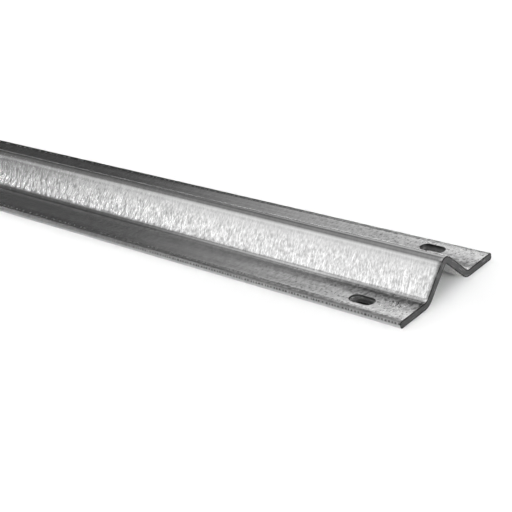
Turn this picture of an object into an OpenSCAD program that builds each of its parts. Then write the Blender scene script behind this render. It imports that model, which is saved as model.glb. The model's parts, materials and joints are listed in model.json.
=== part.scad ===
// Bolt-down ridge rail: one length of galvanised steel strip, pressed into a flat flange,
// an inverted V and a second flat flange. A grooved wheel runs on the crest, and anchors
// go down through the slots in the flanges.
// Millimetres. X runs along the rail, Y across it and Z up. The origin is on the ground,
// under the middle of the rail.

/* [Rail] */
// Length of the rail
rail_l = 500; // [300:50:3000]
// Width across both flanges
rail_w = 60; // [56:1:80]
// Thickness of the steel strip
strip_t = 3; // [2:0.5:4]
// Radius on the strip's long edges, as a share of its thickness
edge_share = 0.34; // [0.1:0.02:0.44]

/* [Ridge] */
// Slope of the ridge's two legs, in degrees above the flat
leg_angle = 45; // [35:1:50]
// Flat width of a flange, from the long edge to the corner where the leg begins
flange_w = 16.5; // [15:0.5:18]
// Radius on the inside of the bend under the crest
crest_bend_r = 0.8; // [0.3:0.1:3]
// Radius on the inside of the bend between a flange and its leg
flange_bend_r = 3.6; // [1:0.2:5]

/* [Fixing slots] */
// Width of a slot
slot_w = 5.5; // [4.5:0.5:7]
// Length of a slot, from end to end
slot_l = 11; // [8:0.5:20]
// Distance from the rail's end to the centre of the first slot
slot_end = 22; // [12:1:60]
// Distance from the long edge to the centre of a slot
slot_edge = 7; // [6:0.2:8]
// Number of slots in each flange
slots_per_flange = 2; // [2:1:8]

/* [Hidden] */
$fn = 96;

arc_steps = 10;

edge_r = edge_share * strip_t;
corner_y = rail_w / 2 - flange_w;
corner_z = strip_t;
crest_r = crest_bend_r + strip_t;
crest_c = [0, corner_z + corner_y * tan(leg_angle) - crest_r / cos(leg_angle)];
bend_c = [corner_y + flange_bend_r * tan(leg_angle / 2), corner_z + flange_bend_r];
edge_c = [rail_w / 2 - edge_r, strip_t - edge_r];
slot_x = rail_l / 2 - slot_end;
slot_y = rail_w / 2 - slot_edge;
slot_pitch = 2 * slot_x / (slots_per_flange - 1);

// Points on an arc about c, between two directions
function arc(c, r, from, to) = [
    for (i = [0 : arc_steps])
        let (a = from + (to - from) * i / arc_steps)
            c + r * [cos(a), sin(a)]
];

// The right half of the section, from the top of the crest round to its underside.
// Points are [across the rail, up].
upper_side = concat(
    arc(crest_c, crest_r, 90, 90 - leg_angle),
    arc(bend_c, flange_bend_r, 270 - leg_angle, 270),
    arc(edge_c, edge_r, 90, 0)
);
lower_side = concat(
    arc([edge_c.x, edge_r], edge_r, 0, -90),
    arc(bend_c, flange_bend_r + strip_t, 270, 270 - leg_angle),
    arc(crest_c, crest_bend_r, 90 - leg_angle, 90)
);
right_half = concat(upper_side, lower_side);

// The left half mirrors it, without the two points that lie on the middle line
left_half = [
    for (i = [len(right_half) - 2 : -1 : 1])
        [-right_half[i].x, right_half[i].y]
];

// The pressed strip, before its slots are punched
module pressed_strip() {
    rotate([90, 0, 90])
        linear_extrude(height = rail_l, center = true)
            polygon(concat(right_half, left_half));
}

// The punch for one slot, with its length along the rail
module slot_punch() {
    punch_h = 3 * strip_t;
    run = slot_l - slot_w;
    translate([0, 0, -strip_t]) {
        translate([-run / 2, -slot_w / 2, 0]) cube([run, slot_w, punch_h]);
        for (x = [-run / 2, run / 2])
            translate([x, 0, 0]) cylinder(d = slot_w, h = punch_h);
    }
}

module rail() {
    color("silver") difference() {
        pressed_strip();
        for (i = [0 : slots_per_flange - 1], side = [-1, 1])
            translate([i * slot_pitch - slot_x, side * slot_y, 0]) slot_punch();
    }
}

rail();
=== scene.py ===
"""Looks of the bolt-down ridge rail: one pressed strip of galvanised steel on a pale studio floor.

Lengths are metres in the part's own frame: X along the rail, Y across it, Z up from the ground.
"""

import json
import math
import random

import bmesh
import bpy
from mathutils import Matrix, Vector


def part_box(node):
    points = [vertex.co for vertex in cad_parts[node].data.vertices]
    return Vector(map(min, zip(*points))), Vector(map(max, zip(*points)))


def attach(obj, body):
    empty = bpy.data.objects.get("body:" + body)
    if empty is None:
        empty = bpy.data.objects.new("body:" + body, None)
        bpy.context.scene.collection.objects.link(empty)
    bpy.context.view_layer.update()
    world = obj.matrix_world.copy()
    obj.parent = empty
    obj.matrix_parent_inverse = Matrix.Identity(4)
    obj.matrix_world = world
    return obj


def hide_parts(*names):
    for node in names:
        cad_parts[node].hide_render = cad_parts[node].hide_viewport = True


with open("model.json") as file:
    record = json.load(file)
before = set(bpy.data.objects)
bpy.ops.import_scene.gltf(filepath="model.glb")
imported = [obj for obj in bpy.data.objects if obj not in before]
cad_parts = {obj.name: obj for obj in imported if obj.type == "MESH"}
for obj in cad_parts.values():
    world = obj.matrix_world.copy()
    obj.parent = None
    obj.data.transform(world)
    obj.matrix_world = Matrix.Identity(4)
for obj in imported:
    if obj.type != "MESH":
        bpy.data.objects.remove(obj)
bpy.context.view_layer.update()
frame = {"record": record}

MM = 0.001

# ---------------------------------------------------------------- sizes of the rail

_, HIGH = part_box("rail")
HALF_LENGTH = HIGH.x
HALF_WIDTH = HIGH.y

STRIP_T = 3 * MM
LEG_ANGLE = 45
FLANGE_W = 16.5 * MM
CREST_BEND_R = 0.8 * MM
FLANGE_BEND_R = 3.6 * MM
EDGE_R = 0.34 * STRIP_T

MOUNTS = {mount["name"]: mount["dims"] for mount in frame["record"]["mounts"]}
SLOTS = MOUNTS["flange_slots"]
SLOT_R = SLOTS["hole_r_mm"] * MM
SLOT_RUN = SLOTS["slot_length_mm"] * MM - 2 * SLOT_R
SLOT_X = SLOTS["spacing_x_mm"] / 2 * MM
SLOT_Y = SLOTS["spacing_y_mm"] / 2 * MM

# What the press leaves: a flange sunk beside its bend, and a leg bowed outwards
SINK_FROM = 15.0 * MM
SINK_TO = 18.5 * MM
SINK_DEPTH = 0.10 * MM
LEG_BOW = 0.12 * MM

# How a slot's rim is rolled over on top and broken out below
PUNCH_ROLL_R = 0.10 * MM
PUNCH_BREAK_R = 0.15 * MM

# How a cut end is rounded, how ragged its top is, and the width of the dark rim round it
END_ROUND = 0.16 * MM
END_RAGGED = 0.10 * MM
END_RIM = 0.30 * MM

# How far the zinc's dashes lean away from straight across the strip, in degrees
DASH_LEAN = -11

# How finely the mesh is divided
BEND_STEPS = 8
LEG_STEPS = 10
LEAD_STEPS = 8
EDGE_STEPS = 5
PUNCH_STEPS = 5
END_STEPS = 3
CELL = 1.1 * MM
LONG_CELL = 4 * MM

# Half size of the window of even cells that holds a slot, and where the rings of cells between
# the window and the slot lie, as shares of the way inwards
WINDOW_X = 8 * CELL
WINDOW_Y = 4 * CELL
RING_SPREAD = (0.3, 0.6, 0.85, 0.97)

# Distance from a rounded long edge to the row of cells that holds the flat in shape
RIM_SUPPORT = 0.06 * MM

# Height above the floor of the dark cards that paint shade inside the near flange's slots
SHADE_CARD_LIFT = 0.02 * MM

# Studio light, with elevations and bearings in degrees
SKY_STRENGTH = 1.3
# Elevations on the dome and the level at each
DOME_LEVELS = ((0, 0.06), (17, 0.04), (24, 0.06), (32, 0.12), (42, 0.16), (60, 0.20))
WALL_LEVEL = 17.0
WALL_TOP = 14
WALL_FADE = 4
OVERHEAD_POWER = 2
OVERHEAD_SIZE = 1
OVERHEAD_HEIGHT = 1.6
# Each panel's bearing and elevation, the angles of its rim and of its heart, and its level
PANELS = (
    ((222, 38), 22, 8, 0.72),
    ((108, 32), 32, 14, 0.52),
    ((172, 66), 24, 8, 0.48),
)
# Gaps in the low wall, given in the same way
OPENINGS = (
    ((135, 8), 31, 24),
    ((229, 10), 29, 22),
)

# Order of the rail's material slots
SKIN = 0
EDGE = 1
CUT = 2
RIM = 3
PUNCHED = 4


# ---------------------------------------------------------------- section of the strip


def arc(centre, radius, start, end, steps):
    """Points on an arc about a centre in the section, from one direction to another, in degrees."""
    points = []
    for i in range(steps + 1):
        a = math.radians(start + (end - start) * i / steps)
        points.append((centre[0] + radius * math.cos(a), centre[1] + radius * math.sin(a)))
    return points


def flange_stops(start, end):
    """Places across a flange's flat, with even cells over the window that holds a slot."""
    inner = SLOT_Y - WINDOW_Y
    outer = SLOT_Y + WINDOW_Y
    stops = [start + (inner - start) * i / LEAD_STEPS for i in range(1, LEAD_STEPS)]
    window_cells = round(2 * WINDOW_Y / CELL)
    stops += [inner + (outer - inner) * i / window_cells for i in range(window_cells + 1)]
    stops.append((outer + end) / 2)
    stops.append(end - RIM_SUPPORT)
    return stops


def sink_share(y):
    """Share of its full depth that a flange sinks at y: one beside its bend, none further out."""
    reach = max(0.0, min(1.0, (abs(y) - SINK_FROM) / (SINK_TO - SINK_FROM)))
    return 1 - reach * reach * (3 - 2 * reach)


def bowed(start, end, steps, bow):
    """Points strictly between two ends of a line that bows outwards, by the most half way."""
    out = Vector((start[1] - end[1], end[0] - start[0])).normalized()
    points = []
    for i in range(1, steps):
        share = i / steps
        lift = bow * 4 * share * (1 - share)
        y = start[0] + (end[0] - start[0]) * share
        z = start[1] + (end[1] - start[1]) * share
        points.append((y + out.x * lift, z + out.y * lift))
    return points


def half_paths():
    """The top and the underside of the right half of the section, from the crest to the long edge.
    Both have the same number of points, so that each point on top has its partner below."""
    corner_y = HALF_WIDTH - FLANGE_W
    crest_r = CREST_BEND_R + STRIP_T
    lean = math.radians(LEG_ANGLE)
    crest_c = (0, STRIP_T + corner_y * math.tan(lean) - crest_r / math.cos(lean))
    bend_c = (corner_y + FLANGE_BEND_R * math.tan(lean / 2), STRIP_T + FLANGE_BEND_R)
    edge_y = HALF_WIDTH - EDGE_R
    leg_up = 90 - LEG_ANGLE
    leg_down = 270 - LEG_ANGLE
    stops = flange_stops(bend_c[0], edge_y)
    paths = []
    for crest_radius, bend_radius, z, edge_z, turn, bow, sink in (
        (crest_r, FLANGE_BEND_R, STRIP_T, STRIP_T - EDGE_R, 90, LEG_BOW, SINK_DEPTH),
        (CREST_BEND_R, FLANGE_BEND_R + STRIP_T, 0.0, EDGE_R, -90, 0.0, 0.0),
    ):
        crest = arc(crest_c, crest_radius, 90, leg_up, BEND_STEPS)
        bend = arc(bend_c, bend_radius, leg_down, 270, BEND_STEPS)
        leg = bowed(crest[-1], bend[0], LEG_STEPS, bow)
        bend = [(y, h - sink * i / BEND_STEPS) for i, (y, h) in enumerate(bend)]
        flat = [(y, z - sink * sink_share(y)) for y in stops]
        edge = arc((edge_y, edge_z), EDGE_R, turn, 0, EDGE_STEPS)
        paths.append(crest + leg + bend + flat + edge)
    return paths


def full_path(half):
    """A half path with its mirror image, from the left long edge to the right one."""
    return [(-y, z) for y, z in reversed(half[1:])] + half


def distances(path):
    """Distance along a path to each of its points, counted from the middle."""
    total = [0.0]
    for a, b in zip(path, path[1:]):
        total.append(total[-1] + math.dist(a, b))
    middle = total[-1] / 2
    return [t - middle for t in total]


TOP_HALF, UNDER_HALF = half_paths()
TOP = full_path(TOP_HALF)
UNDER = full_path(UNDER_HALF)
TOP_RUN = distances(TOP)
UNDER_RUN = distances(UNDER)
COLUMNS = len(TOP)

# How far the distance along each path runs ahead of y in the flanges
COLUMN_OF_SLOT = min(range(COLUMNS), key=lambda k: abs(TOP[k][0] - SLOT_Y))
TOP_SHIFT = TOP_RUN[COLUMN_OF_SLOT] - TOP[COLUMN_OF_SLOT][0]
UNDER_SHIFT = UNDER_RUN[COLUMN_OF_SLOT] - UNDER[COLUMN_OF_SLOT][0]

# Layout of the baking map, a square with two rows, one for each half of the length. Each row has
# the top, an edge, the underside and the other edge.
MAP_SIDE = 290 * MM
MAP_ROW = 144.5 * MM
MAP_EDGE = 0.5 * MM
MAP_GAP = 1.5 * MM

# Beside the rows, a column has the two cut ends side by side, and above them a shelf for each slot's wall
MAP_COLUMN = 253 * MM
MAP_ENDS = 10 * MM
MAP_END_PITCH = 6 * MM
MAP_SHELVES = 100 * MM
MAP_SHELF_PITCH = 5 * MM


# ---------------------------------------------------------------- the rail's mesh


def stations():
    """Places along the rail, with even cells over each window and rounded-off ends."""
    inner = SLOT_X - WINDOW_X
    outer = SLOT_X + WINDOW_X
    end = HALF_LENGTH - END_ROUND
    long_cells = math.ceil(inner / LONG_CELL)
    half = [inner * i / long_cells for i in range(long_cells)]
    window_cells = round(2 * WINDOW_X / CELL)
    half += [inner + (outer - inner) * i / window_cells for i in range(window_cells)]
    end_cells = math.ceil((end - outer) / LONG_CELL * 2)
    half += [outer + (end - outer) * i / end_cells for i in range(end_cells + 1)]
    return [-x for x in reversed(half[1:])] + half


def inward(path, other, k, depth):
    """A point of a path, moved into the strip's thickness towards its partner."""
    here = Vector(path[k])
    there = Vector(other[k])
    if k == 0 or k == len(path) - 1:
        gap = Vector((-math.copysign(1, here.x), 0))
    else:
        gap = (there - here).normalized()
    return here + gap * depth


def stadium_point(x, y, grow):
    """Nearest point to (x, y) on a slot's outline about the origin, grown outwards."""
    core = max(-SLOT_RUN / 2, min(SLOT_RUN / 2, x))
    away = Vector((x - core, y)).normalized()
    return Vector((core, 0)) + away * (SLOT_R + grow)


def slot_profile():
    """Steps down through a slot, as (growth outside its wall, height): rolled over on top by the punch,
    straight, and broken out a little underneath."""
    top = []
    bottom = []
    for i in range(PUNCH_STEPS + 1):
        a = math.radians(90 * i / PUNCH_STEPS)
        top.append((PUNCH_ROLL_R * (1 - math.sin(a)), STRIP_T - PUNCH_ROLL_R * (1 - math.cos(a))))
        bottom.append((PUNCH_BREAK_R * (1 - math.cos(a)), PUNCH_BREAK_R * (1 - math.sin(a))))
    return top + bottom


def map_top(x, run, left):
    """Place on the baking map of a spot on the top."""
    row = 0 if left else MAP_ROW
    return (MAP_EDGE + x + left * HALF_LENGTH, MAP_EDGE + row + run - TOP_RUN[0])


def map_under(x, run, left):
    """Place on the baking map of a spot on the underside."""
    u, v = map_top(x, run, left)
    return (u, v + TOP_RUN[-1] - UNDER_RUN[0] + MAP_GAP)


class Sheet:
    """The strip's mesh while it is being built, with its texture layer and its baking layer."""

    def __init__(self):
        self.mesh = bmesh.new()
        self.sheet = self.mesh.loops.layers.uv.new("sheet")
        self.baking = self.mesh.loops.layers.uv.new("OFBake")

    def vert(self, x, y, z):
        return self.mesh.verts.new((x, y, z))

    def face(self, corners, material, uv, spots):
        """A face through corners, with their places on the texture and their spots on the baking map."""
        made = self.mesh.faces.new(corners)
        made.material_index = material
        made.smooth = True
        for loop, place, (u, v) in zip(made.loops, uv, spots):
            loop[self.sheet].uv = place
            loop[self.baking].uv = (u / MAP_SIDE, v / MAP_SIDE)


def build_rail():
    """The whole strip as one closed mesh of quads, with its slots, rims and cut ends."""
    rng = random.Random(7)
    xs = stations()
    strip = Sheet()
    top = [[strip.vert(x, y, z) for y, z in TOP] for x in xs]
    under = [[strip.vert(x, y, z) for y, z in UNDER] for x in xs]

    x_edges = [i for i, x in enumerate(xs) if abs(abs(x) - SLOT_X) <= WINDOW_X + CELL / 4]
    window_rows = [
        [i for i in x_edges if xs[i] < 0],
        [i for i in x_edges if xs[i] > 0],
    ]
    y_edges = [k for k, p in enumerate(TOP) if abs(abs(p[0]) - SLOT_Y) <= WINDOW_Y + CELL / 4]
    window_columns = [
        [k for k in y_edges if TOP[k][0] < 0],
        [k for k in y_edges if TOP[k][0] > 0],
    ]
    windows = [
        (rows[0], rows[-1], columns[0], columns[-1])
        for rows in window_rows
        for columns in window_columns
    ]

    def in_window(i, k):
        return any(a <= i < b and c <= k < d for a, b, c, d in windows)

    for i in range(len(xs) - 1):
        left = int(xs[i] < 0)
        for k in range(COLUMNS - 1):
            if in_window(i, k):
                continue
            at_edge = k < EDGE_STEPS - 1 or k >= COLUMNS - EDGE_STEPS
            material = EDGE if at_edge else SKIN
            quad = ((i, k), (i + 1, k), (i + 1, k + 1), (i, k + 1))
            uv = [(xs[a], TOP_RUN[b]) for a, b in quad]
            spots = [map_top(xs[a], TOP_RUN[b], left) for a, b in quad]
            strip.face([top[a][b] for a, b in quad], material, uv, spots)
            quad = quad[::-1]
            uv = uv[::-1]
            spots = [map_under(xs[a], UNDER_RUN[b], left) for a, b in quad]
            strip.face([under[a][b] for a, b in quad], material, uv, spots)
        add_edge_faces(strip, top, under, xs, i, left)

    for number, window in enumerate(windows):
        add_slot(strip, top, under, xs, window, number)
    for side, row in ((-1, 0), (1, len(xs) - 1)):
        add_end(strip, top[row], under[row], side, rng)
    loose = [vert for vert in strip.mesh.verts if not vert.link_faces]
    bmesh.ops.delete(strip.mesh, geom=loose, context="VERTS")
    bmesh.ops.recalc_face_normals(strip.mesh, faces=strip.mesh.faces)
    return strip.mesh


def add_edge_faces(strip, top, under, xs, i, left):
    """The upright face of each long edge, over one cell of the length."""
    for k in (0, COLUMNS - 1):
        u_a, after_top = map_top(xs[i], TOP_RUN[-1], left)
        u_b = u_a + xs[i + 1] - xs[i]
        after_under = map_under(xs[i], UNDER_RUN[-1], left)[1] + MAP_EDGE
        v_top = after_under if k == 0 else after_top
        v_under = v_top + top[i][k].co.z - under[i][k].co.z
        corners = [top[i][k], top[i + 1][k], under[i + 1][k], under[i][k]]
        spots = [(u_a, v_top), (u_b, v_top), (u_b, v_under), (u_a, v_under)]
        uv = [(v.co.x, math.copysign(TOP_RUN[-1], v.co.y)) for v in corners]
        strip.face(corners, EDGE, uv, spots)


def add_slot(strip, top, under, xs, window, number):
    """Joins the edge of a window in the top of a flange, through a slot, to the window below it."""
    row_a, row_b, col_a, col_b = window
    rim = [(i, col_a) for i in range(row_a, row_b)]
    rim += [(row_b, k) for k in range(col_a, col_b)]
    rim += [(i, col_b) for i in range(row_b, row_a, -1)]
    rim += [(row_a, k) for k in range(col_b, col_a, -1)]
    count = len(rim)
    centre_x = (xs[row_a] + xs[row_b]) / 2
    centre_y = (TOP[col_a][0] + TOP[col_b][0]) / 2
    left = int(centre_x < 0)

    def ring(grow, z, blend):
        made = []
        for i, k in rim:
            from_centre = Vector((xs[i] - centre_x, TOP[k][0] - centre_y))
            on_slot = stadium_point(from_centre.x, from_centre.y, grow)
            spot = from_centre.lerp(on_slot, blend)
            made.append(strip.vert(centre_x + spot.x, centre_y + spot.y, z))
        return made

    def unroll(vert, shift):
        return vert.co.y + math.copysign(shift, vert.co.y)

    profile = slot_profile()
    drops = [0.0]
    for a, b in zip(profile, profile[1:]):
        drops.append(drops[-1] + math.dist(a, b))
    rings = [([top[i][k] for i, k in rim], "top", 0.0)]
    rings += [(ring(PUNCH_ROLL_R, STRIP_T, t), "top", 0.0) for t in RING_SPREAD]
    rings += [(ring(*step, 1.0), "wall", drop) for step, drop in zip(profile[:-1], drops)]
    rings.append((ring(*profile[-1], 1.0), "under", drops[-1]))
    rings += [(ring(PUNCH_BREAK_R, 0.0, t), "under", 0.0) for t in reversed(RING_SPREAD)]
    rings.append(([under[i][k] for i, k in rim], "under", 0.0))

    pitch = (2 * SLOT_RUN + 2 * math.pi * SLOT_R) / count
    shelf = MAP_SHELVES + MAP_SHELF_PITCH * number
    for (upper, zone, drop), (lower, _, next_drop) in zip(rings, rings[1:]):
        for n in range(count):
            m = (n + 1) % count
            corners = [upper[n], lower[n], lower[m], upper[m]]
            uv = [(v.co.x, unroll(v, TOP_SHIFT) + v.co.z - STRIP_T) for v in corners]
            if zone == "top":
                spots = [map_top(v.co.x, unroll(v, TOP_SHIFT), left) for v in corners]
            elif zone == "under":
                spots = [map_under(v.co.x, unroll(v, UNDER_SHIFT), left) for v in corners]
            else:
                turns = ((n, drop), (n, next_drop), (n + 1, next_drop), (n + 1, drop))
                spots = [(MAP_COLUMN + pitch * turn, shelf + depth) for turn, depth in turns]
            strip.face(corners, PUNCHED if zone == "wall" else SKIN, uv, spots)


def add_end(strip, top_row, under_row, side, rng):
    """Rounds the strip off at one cut end, with a narrow dark rim round a flat face of quads."""
    ragged = [rng.uniform(0, END_RAGGED) for _ in range(COLUMNS)]
    turns = [math.radians(90 * i / END_STEPS) for i in range(1, END_STEPS + 1)]
    insets = [(END_ROUND * (1 - math.sin(a)), 1 - math.cos(a), 0.0) for a in turns]
    insets.append((0.0, 1.0, END_RIM))
    rows = [(top_row, under_row)]
    for short, share, rim in insets:
        x = side * (HALF_LENGTH - short)
        upper = []
        lower = []
        for k in range(COLUMNS):
            y, z = inward(TOP, UNDER, k, (END_ROUND + ragged[k]) * share + rim)
            upper.append(strip.vert(x, y, z))
            y, z = inward(UNDER, TOP, k, END_ROUND * share + rim)
            lower.append(strip.vert(x, y, z))
        rows.append((upper, lower))

    left_edge = MAP_COLUMN + (MAP_END_PITCH if side > 0 else 0)

    def patch(corners, material, runs, depths):
        spots = [(left_edge + depth, MAP_ENDS + run - TOP_RUN[0]) for run, depth in zip(runs, depths)]
        strip.face(corners, material, list(zip(depths, runs)), spots)

    for step, ((top_a, under_a), (top_b, under_b)) in enumerate(zip(rows, rows[1:])):
        near = END_RIM * step / len(insets)
        far = END_RIM * (step + 1) / len(insets)
        high = (near, near, far, far)
        low = [STRIP_T - depth for depth in high]
        for k in range(COLUMNS - 1):
            runs = (TOP_RUN[k], TOP_RUN[k + 1], TOP_RUN[k + 1], TOP_RUN[k])
            patch([top_a[k], top_a[k + 1], top_b[k + 1], top_b[k]], RIM, runs, high)
            patch([under_a[k], under_a[k + 1], under_b[k + 1], under_b[k]], RIM, runs, low)
        for k, way in ((0, -1), (COLUMNS - 1, 1)):
            out_a = TOP_RUN[k] + way * (END_RIM - near)
            out_b = TOP_RUN[k] + way * (END_RIM - far)
            runs = (out_a, out_a, out_b, out_b)
            depths = (near, STRIP_T - near, STRIP_T - far, far)
            patch([top_a[k], under_a[k], under_b[k], top_b[k]], RIM, runs, depths)
    upper, lower = rows[-1]
    depths = (END_RIM, END_RIM, STRIP_T - END_RIM, STRIP_T - END_RIM)
    for k in range(COLUMNS - 1):
        runs = (TOP_RUN[k], TOP_RUN[k + 1], TOP_RUN[k + 1], TOP_RUN[k])
        patch([upper[k], upper[k + 1], lower[k + 1], lower[k]], CUT, runs, depths)


# ---------------------------------------------------------------- node helpers


class Nodes:
    """Short calls for adding linked nodes to a node tree. Apart from add and feed, each returns the
    socket that holds its result."""

    def __init__(self, tree):
        self.tree = tree

    def add(self, kind, inputs=None, **settings):
        """A node of any kind. Its inputs take sockets or plain values, by name or number."""
        node = self.tree.nodes.new(kind)
        for name, value in settings.items():
            setattr(node, name, value)
        for name, value in (inputs or {}).items():
            self.feed(node.inputs[name], value)
        return node

    def feed(self, socket, value):
        """Links or sets an input."""
        if isinstance(value, bpy.types.NodeSocket):
            self.tree.links.new(value, socket)
        else:
            socket.default_value = value

    def math(self, operation, a, b=0.0, c=0.0, clamp=False):
        inputs = {0: a, 1: b, 2: c}
        return self.add("ShaderNodeMath", inputs, operation=operation, use_clamp=clamp).outputs[0]

    def scaled(self, value, gain, base=0.0):
        """Value times gain, plus base."""
        return self.math("MULTIPLY_ADD", value, gain, base)

    def centred(self, value):
        """Moves a value that runs from none to one so that it swings about zero."""
        return self.math("SUBTRACT", value, 0.5)

    def product(self, *values):
        """Product of masks or values."""
        made = values[0]
        for value in values[1:]:
            made = self.math("MULTIPLY", made, value)
        return made

    def step(self, value, low, high, to_low=0.0, to_high=1.0):
        """Smooth step, from to_low at low to to_high at high."""
        inputs = {"Value": value, "From Min": low, "From Max": high, "To Min": to_low, "To Max": to_high}
        return self.add("ShaderNodeMapRange", inputs, interpolation_type="SMOOTHSTEP").outputs[0]

    def zone(self, place, none, full):
        """Mask by place in millimetres: none at one place, rising to one at the other."""
        return self.step(place, none * MM, full * MM)

    def band(self, place, none_below, full_from, full_to, none_above):
        """Mask by place in millimetres: one from full_from to full_to, fading on both sides."""
        return self.product(
            self.zone(place, none_below, full_from),
            self.zone(place, none_above, full_to),
        )

    def near_level(self, value, level, reach, core):
        """Mask that is one within a core about a level, and none beyond its reach."""
        return self.step(self.math("ABSOLUTE", self.math("SUBTRACT", value, level)), reach, core)

    def stretch(self, vector, size, turn=0.0, shift=(0, 0, 0)):
        """Vector scaled by size, turned about Z by degrees, then shifted."""
        turns = (0, 0, math.radians(turn))
        inputs = {"Vector": vector, "Scale": size, "Rotation": turns, "Location": shift}
        return self.add("ShaderNodeMapping", inputs).outputs[0]

    def noise(self, vector, size=(1, 1, 1), shift=(0, 0, 0), detail=2.0, roughness=0.5, distortion=0.0):
        """Noise with about size features to a metre along each axis."""
        inputs = {
            "Vector": self.stretch(vector, size, 0, shift),
            "Scale": 1.0,
            "Detail": detail,
            "Roughness": roughness,
            "Distortion": distortion,
        }
        return self.add("ShaderNodeTexNoise", inputs).outputs["Fac"]

    def grey(self, value):
        """Colour with the same value in all three channels."""
        return self.add("ShaderNodeCombineColor", {0: value, 1: value, 2: value}).outputs[0]


def new_material(name):
    """A fresh node material, with its builder and its shader."""
    material = bpy.data.materials.new(name)
    material.use_nodes = True
    material.node_tree.nodes.clear()
    nodes = Nodes(material.node_tree)
    shader = nodes.add("ShaderNodeBsdfPrincipled")
    output = nodes.add("ShaderNodeOutputMaterial")
    material.node_tree.links.new(shader.outputs[0], output.inputs["Surface"])
    return material, nodes, shader


def finish_metal(n, shader, tone, rough, height):
    """Feeds a metal's grey, roughness and relief to its shader."""
    bump = n.add("ShaderNodeBump", {"Strength": 1.0, "Distance": 1.0, "Height": height})
    shader.inputs["Metallic"].default_value = 1.0
    n.feed(shader.inputs["Base Color"], n.grey(tone))
    n.feed(shader.inputs["Roughness"], rough)
    n.feed(shader.inputs["Normal"], bump.outputs[0])


# ---------------------------------------------------------------- materials


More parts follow.
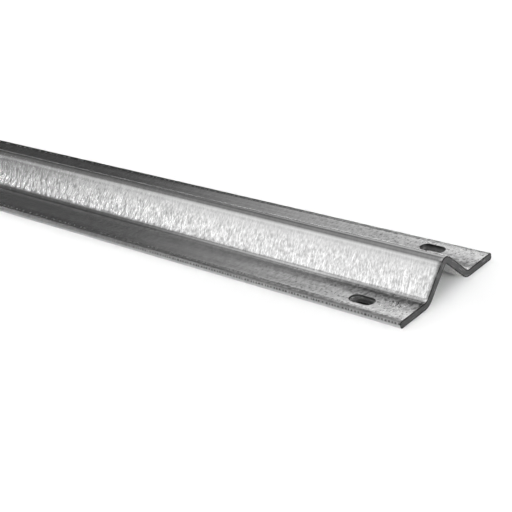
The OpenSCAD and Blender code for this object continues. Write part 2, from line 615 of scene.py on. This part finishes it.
def zinc_skin():
    """Galvanised face of the strip: fine dashes across it, drag lines along it, dull margins, painted shade
    on the crest and beside the bends, and a painted highlight beside the bends.
    Distances across are from the crest's middle, and zones near an end are told from that end."""
    material, n, shader = new_material("zinc_skin")
    sheet = n.add("ShaderNodeUVMap", uv_map="sheet").outputs[0]
    place = n.add("ShaderNodeSeparateXYZ", {0: n.add("ShaderNodeTexCoord").outputs["Object"]})
    side = place.outputs["Y"]
    along = n.math("ABSOLUTE", place.outputs["X"])
    across = n.math("ABSOLUTE", side)
    from_end = n.math("SUBTRACT", HALF_LENGTH, along)
    past_slot = n.math("SUBTRACT", along, SLOT_X)
    near_flange = n.zone(side, 0, -1)

    # Textures, in the strip's own flat layout
    leaning = n.stretch(sheet, (1, 1, 1), DASH_LEAN)
    dashes = n.noise(leaning, (1500, 520, 1), roughness=0.6)
    streaks = n.noise(leaning, (560, 180, 1), (5, 2, 0))
    splashes = n.noise(leaning, (600, 90, 1), (3, 3, 0), detail=1.0)
    cloud = n.noise(sheet, (70, 55, 1), (1, 9, 0), detail=3.0, roughness=0.55)
    lines = n.noise(sheet, (9, 1400, 1), (2, 4, 0))
    bands = n.noise(sheet, (5, 430, 1), (8, 3, 0), detail=1.0)
    flecks = n.noise(sheet, (1150, 700, 1), (3, 7, 0), detail=1.0)
    grains = n.noise(sheet, (640, 430, 1), (2, 6, 0), roughness=0.6)
    curls = n.noise(sheet, (480, 360, 1), (1, 5, 0), detail=1.0, distortion=2.2)
    waver = n.centred(n.noise(sheet, (330, 90, 1), (6, 1, 0), detail=4.0, roughness=0.65))

    # Zones along the rail, by distance from the nearer cut end
    near_half = n.zone(from_end, 190, 40)
    far_half = n.math("SUBTRACT", 1.0, near_half)
    near_end = n.zone(from_end, 120, 20)
    middle = n.zone(from_end, 150, 270)

    # Distance across with an uneven edge: a little, and more towards the ends in two ways
    loose = n.scaled(waver, 2.2 * MM, across)
    wavered = n.scaled(waver, n.scaled(near_end, 2.8 * MM, 0.4 * MM), across)
    ragged = n.scaled(waver, n.scaled(near_end, 7.0 * MM, 2.0 * MM), across)
    from_bend = n.scaled(near_half, -0.9 * MM, loose)

    # Zones across the strip
    # The crest's masks carry painted shade, for the dim sky that the crest reflects
    on_crest = n.zone(across, 3.3, 2.3)
    crest_near = n.product(on_crest, n.zone(side, -0.2, -1.2))
    crest_far = n.band(side, 0.2, 1.2, 4.0, 5.0)
    crest_foot = n.near_level(across, 3.9 * MM, 0.6 * MM, 0.18 * MM)
    on_leg = n.product(n.zone(across, 2.9, 4.2), n.zone(from_bend, 12.8, 11.9))
    upper_leg = n.band(across, 2.9, 3.6, 6.0, 9.0)
    low_leg = n.product(on_leg, n.zone(across, 3.8, 8.5))
    # Painted shade in the hollow of the bend between leg and flange
    beside_bend = n.product(n.zone(loose, 11.7, 12.7), n.zone(across, 15.5, 14.5))
    on_flange = n.zone(across, 13.6, 14.6)
    # Painted shade on each flange beside its bend, darker and more ragged near the ends
    flange_bend_shade = n.product(n.zone(across, 15.0, 16.2), n.zone(ragged, 21.5, 17.5))
    margin = n.zone(wavered, 26.9, 27.5)
    far_margin = n.product(margin, n.zone(side, 0, 1), n.zone(from_end, 40, 100))

    # Patches near the ends: a paler tip, painted shade beside the near flange's bend, and a painted
    # highlight beside both bends further in
    tip = n.product(n.zone(from_end, 50, 15), n.zone(across, 20.5, 24))
    shaded = n.product(n.zone(loose, 12.7, 13.9), n.zone(ragged, 18, 16), n.zone(from_end, 50, 22))
    shaded = n.product(shaded, near_flange)
    bend_highlight = n.product(n.band(across, 13.0, 13.8, 15.0, 17.0), n.band(from_end, 35, 55, 115, 160))

    # Marks: torn lines in the margin, dark flecks, pale splashes, and curls scuffed beside a slot
    torn = n.add("ShaderNodeCombineXYZ", {0: n.scaled(along, 14.0), 1: n.scaled(wavered, 1500.0)}).outputs[0]
    tears = n.centred(n.step(n.noise(torn, detail=1.0), 0.36, 0.62))
    tears = n.product(tears, near_end, n.zone(wavered, 26.6, 27.1))
    mottle = n.product(n.centred(n.step(grains, 0.34, 0.66)), on_flange)
    fleck = n.product(n.step(flecks, 0.60, 0.68), on_flange, near_end)
    splash = n.product(n.step(splashes, 0.62, 0.68), low_leg, near_end)
    scuffed = n.product(n.band(past_slot, 5.5, 7, 15, 19), n.band(across, 17, 18.5, 23.5, 25.5), near_flange)
    curl = n.product(n.near_level(curls, 0.53, 0.040, 0.018), scuffed)
    hollow = n.product(n.near_level(curls, 0.44, 0.045, 0.020), scuffed)

    # Grey, built up from masks and how much each of them adds
    dash_share = n.scaled(low_leg, 0.24, n.scaled(on_leg, 0.14, 0.05))
    dash_share = n.product(dash_share, n.scaled(far_half, 0.25, 0.80))
    streak_share = n.scaled(low_leg, 0.20, n.scaled(on_leg, 0.06, 0.04))
    streak_share = n.product(streak_share, n.scaled(far_half, 0.60, 0.55))
    tone = n.scaled(cloud, 0.12, 0.60)
    for mask, amount in (
        (low_leg, 0.04),
        (n.centred(n.step(dashes, 0.32, 0.68)), dash_share),
        (n.centred(n.step(streaks, 0.34, 0.66)), streak_share),
        (splash, 0.36),
        (mottle, n.scaled(near_end, 0.13, 0.07)),
        (n.centred(bands), n.scaled(on_flange, 0.45)),
        (crest_foot, -0.07),
        # Painted shade on the crest: darker on its near side near the ends, and on its far side in the far
        # half
        (on_crest, -0.06),
        (crest_near, n.scaled(near_half, -0.24, -0.04)),
        (crest_far, n.scaled(far_half, -0.44)),
        # Painted shade in the hollow of each bend, in the far half of the length
        (beside_bend, n.scaled(far_half, -0.34, 0.04)),
        (upper_leg, n.scaled(middle, -0.15)),
        (on_flange, -0.06),
        (margin, -0.22),
        (far_margin, -0.13),
        (tears, 0.34),
        # Painted shade on the flange beside its bend
        (flange_bend_shade, n.scaled(near_end, -0.12, -0.12)),
        (fleck, -0.34),
        (tip, 0.16),
        (shaded, -0.20),
        # Painted highlight beside both bends, some way in from the ends
        (bend_highlight, 0.18),
        (hollow, -0.38),
        (curl, 0.48),
    ):
        tone = n.scaled(mask, amount, tone)
    tone = n.math("ADD", tone, 0.0, clamp=True)

    # Roughness, even along the rim
    calm = n.product(n.centred(streaks), n.zone(across, 28.6, 27.8))
    rough = n.scaled(calm, 0.10, 0.19)
    rough = n.scaled(margin, 0.08, rough)
    rough = n.scaled(crest_far, n.scaled(far_half, 0.35), rough)

    # Relief, which ends before the rim
    streak_height = n.product(low_leg, n.scaled(far_half, 0.035 * MM, 0.020 * MM))
    height = n.product(dashes, n.scaled(low_leg, 0.030 * MM, 0.014 * MM))
    height = n.scaled(streaks, streak_height, height)
    height = n.scaled(lines, 0.010 * MM, height)
    height = n.scaled(fleck, -0.03 * MM, height)
    height = n.scaled(curl, 0.02 * MM, height)
    height = n.product(height, n.zone(across, 28.8, 27.6))
    finish_metal(n, shader, tone, rough, height)
    return material


def slit_edge():
    """Long edge left by slitting: cleanly cut and lighter below, partly painted reflection of the pale
    floor, with a row of dark pits along its upper half.
    """
    material, n, shader = new_material("slit_edge")
    place = n.add("ShaderNodeTexCoord").outputs["Object"]
    parts = n.add("ShaderNodeSeparateXYZ", {0: place})
    x = parts.outputs["X"]
    level = parts.outputs["Z"]
    grain = n.noise(place, (800, 800, 260), detail=3.0, roughness=0.6)
    drift = n.noise(place, (260, 1, 1), roughness=0.6)

    # The pits and the relief show towards the ends, and a thin dark seam takes over further in
    from_end = n.math("SUBTRACT", HALF_LENGTH, n.math("ABSOLUTE", x))
    clear = n.zone(from_end, 190, 90)
    pit_pitch = 1.5 * MM
    beat = n.scaled(drift, 12.0, n.scaled(x, 2 * math.pi / pit_pitch))
    pit = n.product(n.step(n.math("SINE", beat), -0.5, 0.5), n.band(level, 1.5, 1.9, 2.3, 2.65), clear)
    seam = n.product(n.zone(level, 2.2, 2.5), n.math("SUBTRACT", 1.0, clear))

    tone = n.scaled(grain, 0.16, n.scaled(clear, 0.06, 0.36))
    # Lighter below than above: partly the cleaner cut, partly painted reflection of the pale floor
    tone = n.scaled(n.zone(level, 0.6, 2.0), -0.28, tone)
    tone = n.scaled(seam, -0.05, tone)
    tone = n.math("MULTIPLY_ADD", pit, -0.19, tone, clamp=True)
    relief = n.product(n.zone(level, 2.7, 2.3), n.scaled(clear, 0.036 * MM, 0.004 * MM))
    height = n.scaled(pit, -0.08 * MM, n.product(grain, relief))
    finish_metal(n, shader, tone, n.scaled(grain, 0.2, 0.28), height)
    return material


def sheared_steel():
    """Dark bare steel of a cut end, with thin bright slivers left by the blade."""
    material, n, shader = new_material("sheared_steel")
    sheet = n.add("ShaderNodeUVMap", uv_map="sheet").outputs[0]
    scores = n.noise(sheet, (900, 350, 1), detail=4.0, roughness=0.65)
    slivers = n.step(n.noise(sheet, (2300, 190, 1), (4, 4, 0)), 0.62, 0.70)
    tone = n.scaled(slivers, 0.22, n.scaled(scores, 0.09, 0.025))
    finish_metal(n, shader, tone, n.scaled(scores, 0.25, 0.35), n.scaled(scores, 0.05 * MM))
    return material


def sheared_rim():
    """Almost black, broken line round a cut end."""
    material, n, shader = new_material("sheared_rim")
    sheet = n.add("ShaderNodeUVMap", uv_map="sheet").outputs[0]
    breaks = n.noise(sheet, (300, 420, 1), (9, 9, 0), detail=3.0, roughness=0.6)
    tone = n.scaled(n.step(breaks, 0.50, 0.75), 0.12, 0.012)
    finish_metal(n, shader, tone, n.scaled(breaks, 0.2, 0.5), n.scaled(breaks, 0.04 * MM))
    return material


def punched_steel():
    """Grey wall of a slot, scored up and down by the punch, with painted light that makes it brighter in the
    near flange.
    """
    material, n, shader = new_material("punched_steel")
    place = n.add("ShaderNodeTexCoord").outputs["Object"]
    parts = n.add("ShaderNodeSeparateXYZ", {0: place})
    scores = n.noise(place, (1600, 1600, 200), detail=3.0, roughness=0.6)
    below_rim = n.zone(parts.outputs["Z"], 2.7, 1.0)
    # Painted light: the walls of the near flange's slots are lighter than the far ones
    near_lit_tone = n.scaled(n.zone(parts.outputs["Y"], 1, -1), 0.52, 0.14)
    tone = n.scaled(n.scaled(scores, 0.16, near_lit_tone), below_rim, 0.03)
    finish_metal(n, shader, tone, n.scaled(scores, 0.2, 0.4), n.scaled(scores, 0.03 * MM))
    return material


def slot_shade_black():
    """Black felt of the cards that paint shade on the floor inside the near flange's slots."""
    material, n, shader = new_material("slot_shade_black")
    shader.inputs["Base Color"].default_value = (0.012, 0.012, 0.012, 1)
    shader.inputs["Roughness"].default_value = 0.95
    shader.inputs["Specular IOR Level"].default_value = 0.1
    return material


def floor_paint():
    """Plain pale studio floor."""
    material, n, shader = new_material("floor_paint")
    shader.inputs["Base Color"].default_value = (0.92, 0.92, 0.92, 1)
    shader.inputs["Roughness"].default_value = 0.9
    shader.inputs["Specular IOR Level"].default_value = 0.1
    return material


# ---------------------------------------------------------------- studio


def add_floor():
    """A wide pale floor under the rail."""
    bpy.ops.mesh.primitive_plane_add(size=12, location=(0, 0, 0))
    floor = bpy.context.object
    floor.name = "studio_floor"
    floor.data.materials.append(floor_paint())


def add_slot_shade_cards():
    """Dark cards on the floor inside the near flange's slots: painted shade, for the shadowed ground seen
    through them.
    """
    count = 32
    outline = bmesh.new()
    for side in (-1, 1):
        rim = []
        for i in range(count):
            a = 2 * math.pi * (i + 0.5) / count
            x = math.copysign(SLOT_RUN / 2, math.cos(a)) + SLOT_R * math.cos(a)
            rim.append(outline.verts.new((side * SLOT_X + x, SLOT_R * math.sin(a) - SLOT_Y, SHADE_CARD_LIFT)))
        outline.faces.new(rim)
    mesh = bpy.data.meshes.new("slot_shade_cards")
    outline.to_mesh(mesh)
    outline.free()
    mesh.materials.append(slot_shade_black())
    cards = bpy.data.objects.new("slot_shade_cards", mesh)
    bpy.context.scene.collection.objects.link(cards)


def bearing(azimuth, elevation):
    """Unit vector towards a place in the sky, from angles in degrees."""
    a = math.radians(azimuth)
    e = math.radians(elevation)
    return (math.cos(e) * math.cos(a), math.cos(e) * math.sin(a), math.sin(e))


def add_sky():
    """A soft studio dome, the same from both sides: a bright low wall with gaps in it, and soft panels
    on a dim ground above it."""
    world = bpy.data.worlds.new("studio_dome")
    bpy.context.scene.world = world
    world.use_nodes = True
    world.node_tree.nodes.clear()
    n = Nodes(world.node_tree)
    direction = n.add("ShaderNodeTexCoord").outputs["Generated"]
    up = n.add("ShaderNodeSeparateXYZ", {0: direction}).outputs["Z"]
    ramp = n.add("ShaderNodeValToRGB", {"Fac": up})
    stops = ramp.color_ramp.elements
    while len(stops) < len(DOME_LEVELS):
        stops.new(0.5)
    for stop, (elevation, level) in zip(stops, DOME_LEVELS):
        stop.position = math.sin(math.radians(elevation))
        stop.color = (level, level, level, 1)
    light = ramp.outputs[0]

    def glow(azimuth, elevation, rim, heart, level):
        inputs = {0: direction, 1: bearing(azimuth, elevation)}
        facing = n.add("ShaderNodeVectorMath", inputs, operation="DOT_PRODUCT").outputs["Value"]
        return n.step(facing, math.cos(math.radians(rim)), math.cos(math.radians(heart)), 0.0, level)

    for (azimuth, elevation), rim, heart, level in PANELS:
        for turn in (0, 180):
            light = n.math("ADD", light, glow(azimuth + turn, elevation, rim, heart, level))
    above_wall = math.sin(math.radians(WALL_TOP + WALL_FADE))
    wall = n.step(up, above_wall, math.sin(math.radians(WALL_TOP)), 0.0, WALL_LEVEL)
    for (azimuth, elevation), rim, heart in OPENINGS:
        for turn in (0, 180):
            gap = glow(azimuth + turn, elevation, rim, heart, 1.0)
            wall = n.product(wall, n.math("SUBTRACT", 1.0, gap))
    light = n.math("ADD", light, wall)
    background = n.add("ShaderNodeBackground", {"Color": n.grey(light), "Strength": SKY_STRENGTH})
    output = n.add("ShaderNodeOutputWorld")
    world.node_tree.links.new(background.outputs[0], output.inputs["Surface"])


def add_overhead():
    """A weak soft light straight above the rail, facing down."""
    light = bpy.data.lights.new("overhead", "AREA")
    light.shape = "SQUARE"
    light.size = OVERHEAD_SIZE
    light.energy = OVERHEAD_POWER
    lamp = bpy.data.objects.new("overhead", light)
    bpy.context.scene.collection.objects.link(lamp)
    lamp.location = (0, 0, OVERHEAD_HEIGHT)


def add_camera():
    """Camera just off one cut end, looking back along the rail and down on it, rolled a little."""
    azimuth = math.radians(-44.70)
    elevation = math.radians(26.04)
    roll = math.radians(-8.725)
    distance = 498.12 * MM
    target = Vector((HALF_LENGTH - 96.39 * MM, 0, -6.62 * MM))
    away = Vector((
        math.cos(elevation) * math.cos(azimuth),
        math.cos(elevation) * math.sin(azimuth),
        math.sin(elevation),
    ))
    right = (-away).cross(Vector((0, 0, 1))).normalized()
    up = right.cross(-away)
    turned_right = math.cos(roll) * right + math.sin(roll) * up
    turned_up = -math.sin(roll) * right + math.cos(roll) * up
    data = bpy.data.cameras.new("camera")
    data.lens = 82.95
    data.sensor_width = 36
    data.clip_start = 0.01
    data.clip_end = 50
    camera = bpy.data.objects.new("camera", data)
    bpy.context.scene.collection.objects.link(camera)
    axes = Matrix((turned_right, turned_up, away)).transposed().to_4x4()
    camera.matrix_world = Matrix.Translation(target + away * distance) @ axes
    bpy.context.scene.camera = camera


# ---------------------------------------------------------------- the scene

add_camera()

rail_mesh = bpy.data.meshes.new("rail_strip")
built = build_rail()
built.to_mesh(rail_mesh)
built.free()
rail_mesh.uv_layers["sheet"].active_render = True
for make in (zinc_skin, slit_edge, sheared_steel, sheared_rim, punched_steel):
    rail_mesh.materials.append(make())
rail = bpy.data.objects.new("rail_strip", rail_mesh)
bpy.context.scene.collection.objects.link(rail)
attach(rail, "root")
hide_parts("rail")

add_floor()
# Painted shade: dark cards on the floor inside the near flange's slots
add_slot_shade_cards()
add_sky()
add_overhead()
bpy.context.scene.view_settings.view_transform = "Standard"
